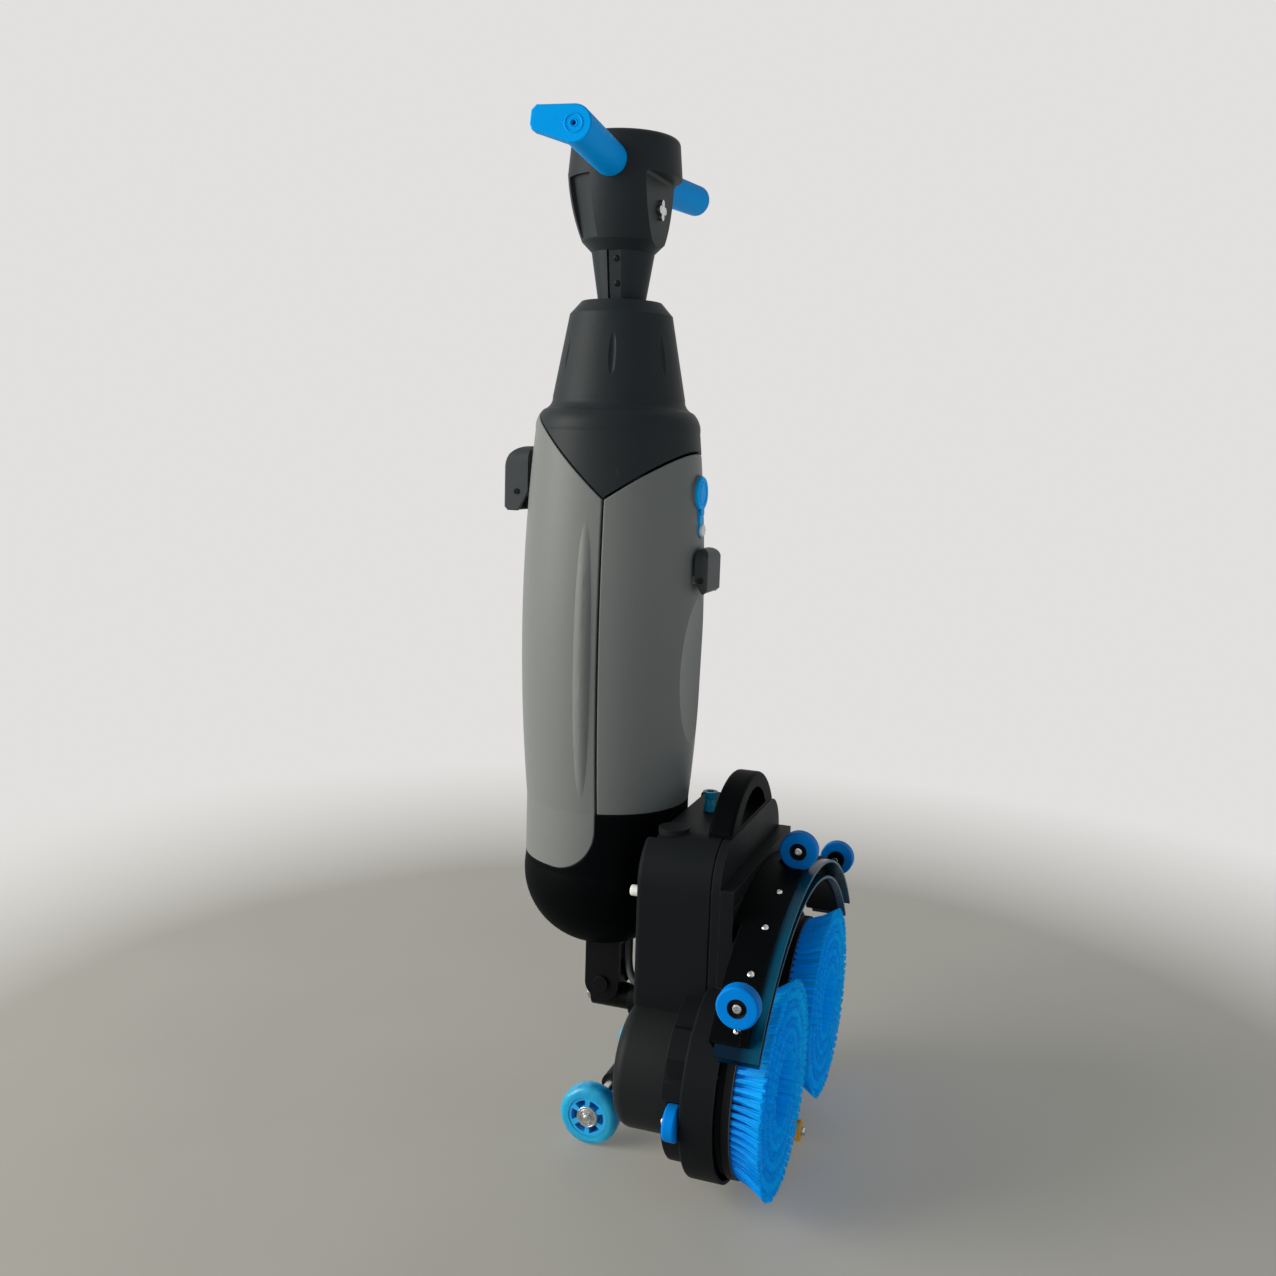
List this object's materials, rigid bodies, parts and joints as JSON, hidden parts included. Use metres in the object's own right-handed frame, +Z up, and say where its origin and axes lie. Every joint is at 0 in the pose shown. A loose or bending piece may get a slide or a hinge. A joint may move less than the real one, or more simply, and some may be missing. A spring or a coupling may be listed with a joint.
{
  "type": "floor scrubber",
  "caption": "Walk-behind floor scrubber parked upright: tank column with handlebar head, and a folded deck with disc brushes, squeegee and transport wheels.",
  "frame": {"origin": "on the floor, under the middle of the machine's length and width, parked upright", "axes": "+X towards the side the brushes face when parked, +Y to the right of someone who stands behind the column and looks along +X with +Z up"},
  "size_m": [0.3866, 0.506, 1.1228],
  "materials": {
    "grip_rubber": "satin moulded rubber",
    "charcoal_plastic": "fine grained satin",
    "cap_blue": "satin",
    "panel_plastic": "gloss",
    "button_plastic": "satin",
    "tank_plastic": "satin moulded",
    "black_plastic": "satin gloss",
    "black_metal": "satin paint",
    "chrome": "polished",
    "steel": "bright",
    "tube_aluminium": "drawn tube",
    "motor_metal": "cast",
    "turbine_plastic": "matte",
    "battery_plastic": "matte wrap",
    "board": "lacquered",
    "white_plastic": "matte",
    "wheel_blue": "satin",
    "bristle_blue": "satin fibre",
    "blade_blue": "smooth",
    "clear_tyre": "smooth, translucent",
    "hub_blue": "gloss",
    "amber": "smooth",
    "hose_grey": "matte"
  },
  "bodies": {
    "deck": {"deck_cowl": "black_plastic", "deck_box": "black_plastic", "battery_pack": "battery_plastic", "carry_handle": "black_plastic", "stop_pegs": "white_plastic", "hose_spigot": "hub_blue", "squeegee_carrier": "black_plastic", "outer_blade": "blade_blue", "inner_blade": "blade_blue", "squeegee_screws": "steel", "roller_bolts": "steel", "left_motor_cover": "black_plastic", "right_motor_cover": "black_plastic", "left_motor": "motor_metal", "right_motor": "motor_metal", "transport_axle": "steel", "roll_bolt": "steel"},
    "joint_link": {"cross_link": "black_metal", "hose": "hose_grey"},
    "column": {"base_bowl": "black_plastic", "spine_plate": "black_metal", "upper_cover": "charcoal_plastic", "vacuum_motor": "turbine_plastic", "water_pump": "turbine_plastic", "upper_yoke": "black_metal", "pitch_pin": "black_metal", "neck_sleeve": "charcoal_plastic", "head_housing": "charcoal_plastic", "control_panel": "panel_plastic", "control_board": "board", "handlebar_tube": "tube_aluminium", "left_grip": "grip_rubber", "right_grip": "grip_rubber"},
    "front_tank": {"front_tank": "tank_plastic", "cap_strap": "cap_blue", "cap_rivet": "white_plastic"},
    "rear_tank": {"rear_tank": "tank_plastic"},
    "front_latch": {"front_latch": "charcoal_plastic"},
    "rear_latch": {"rear_latch": "charcoal_plastic"},
    "fill_cap": {"fill_cap": "cap_blue"},
    "power_button": {"power_button": "button_plastic"},
    "mode_button": {"mode_button": "button_plastic"},
    "key_knob": {"key_knob": "chrome"},
    "left_brush": {"left_drive_shaft": "steel", "left_brush_block": "black_plastic", "left_bristles": "bristle_blue"},
    "right_brush": {"right_drive_shaft": "steel", "right_brush_block": "black_plastic", "right_bristles": "bristle_blue"},
    "left_squeegee_wheel": {"left_squeegee_wheel": "wheel_blue"},
    "centre_squeegee_wheel": {"centre_squeegee_wheel": "wheel_blue"},
    "right_squeegee_wheel": {"right_squeegee_wheel": "wheel_blue"},
    "left_bumper_roller": {"left_bumper_roller": "wheel_blue"},
    "right_bumper_roller": {"right_bumper_roller": "wheel_blue"},
    "support_roller": {"support_roller": "amber"},
    "left_transport_wheel": {"left_wheel_hub": "hub_blue", "left_wheel_tyre": "clear_tyre"},
    "right_transport_wheel": {"right_wheel_hub": "hub_blue", "right_wheel_tyre": "clear_tyre"}
  },
  "joints": [
    {"name": "steer_swivel", "type": "hinge", "parent": "deck", "child": "joint_link", "pos_m": [-0.06212, 0, 0.138], "axis": [1, 0, 0], "range_deg": [-13, 13]},
    {"name": "column_tilt", "type": "hinge", "parent": "joint_link", "child": "column", "pos_m": [-0.05412, 0, 0.16], "axis": [0, -1, 0], "range_deg": [0, 90]},
    {"name": "front_tank_tip", "type": "hinge", "parent": "column", "child": "front_tank", "pos_m": [0.03288, 0, 0.38575], "axis": [0, 1, 0], "range_deg": [0, 30]},
    {"name": "rear_tank_tip", "type": "hinge", "parent": "column", "child": "rear_tank", "pos_m": [-0.15712, 0, 0.31775], "axis": [0, -1, 0], "range_deg": [0, 30]},
    {"name": "front_latch_swing", "type": "hinge", "parent": "front_tank", "child": "front_latch", "pos_m": [0.04912, 0, 0.646], "axis": [0, 1, 0], "range_deg": [0, 25]},
    {"name": "rear_latch_swing", "type": "hinge", "parent": "rear_tank", "child": "rear_latch", "pos_m": [-0.17703, 0, 0.7352], "axis": [0, -1, 0], "range_deg": [0, 25]},
    {"name": "fill_cap_pull", "type": "slide", "parent": "front_tank", "child": "fill_cap", "axis": [1, 0, 0], "range_m": [0, 0.014]},
    {"name": "power_button_press", "type": "slide", "parent": "column", "child": "power_button", "axis": [0, 0, -1], "range_m": [0, 0.0015], "stiffness_N_per_m": 400},
    {"name": "mode_button_press", "type": "slide", "parent": "column", "child": "mode_button", "axis": [0, 0, -1], "range_m": [0, 0.0015], "stiffness_N_per_m": 400},
    {"name": "key_turn", "type": "hinge", "parent": "column", "child": "key_knob", "pos_m": [-0.02112, 0, 1.046], "axis": [1, 0, 0], "range_deg": [0, 90]},
    {"name": "left_brush_spin", "type": "hinge", "parent": "deck", "child": "left_brush", "pos_m": [0.14763, -0.117, 0.122], "axis": [1, 0, 0], "continuous": true},
    {"name": "left_bumper_spin", "type": "hinge", "parent": "deck", "child": "left_bumper_roller", "pos_m": [0.09123, -0.212, 0.112], "axis": [1, 0, 0], "continuous": true},
    {"name": "left_transport_spin", "type": "hinge", "parent": "deck", "child": "left_transport_wheel", "pos_m": [-0.03612, -0.095, 0.035], "axis": [0, 1, 0], "continuous": true},
    {"name": "right_brush_spin", "type": "hinge", "parent": "deck", "child": "right_brush", "pos_m": [0.14763, 0.117, 0.122], "axis": [1, 0, 0], "continuous": true},
    {"name": "right_bumper_spin", "type": "hinge", "parent": "deck", "child": "right_bumper_roller", "pos_m": [0.09123, 0.212, 0.112], "axis": [1, 0, 0], "continuous": true},
    {"name": "right_transport_spin", "type": "hinge", "parent": "deck", "child": "right_transport_wheel", "pos_m": [-0.03612, 0.095, 0.035], "axis": [0, 1, 0], "continuous": true},
    {"name": "left_squeegee_wheel_spin", "type": "hinge", "parent": "deck", "child": "left_squeegee_wheel", "pos_m": [0.17013, -0.24458, 0.26487], "axis": [0, 1, 0], "continuous": true},
    {"name": "centre_squeegee_wheel_spin", "type": "hinge", "parent": "deck", "child": "centre_squeegee_wheel", "pos_m": [0.17013, 0, 0.3472], "axis": [0, 1, 0], "continuous": true},
    {"name": "right_squeegee_wheel_spin", "type": "hinge", "parent": "deck", "child": "right_squeegee_wheel", "pos_m": [0.17013, 0.24458, 0.26487], "axis": [0, 1, 0], "continuous": true},
    {"name": "support_roller_spin", "type": "hinge", "parent": "deck", "child": "support_roller", "pos_m": [0.16963, 0, 0.012], "axis": [1, 0, 0], "continuous": true}
  ]
}
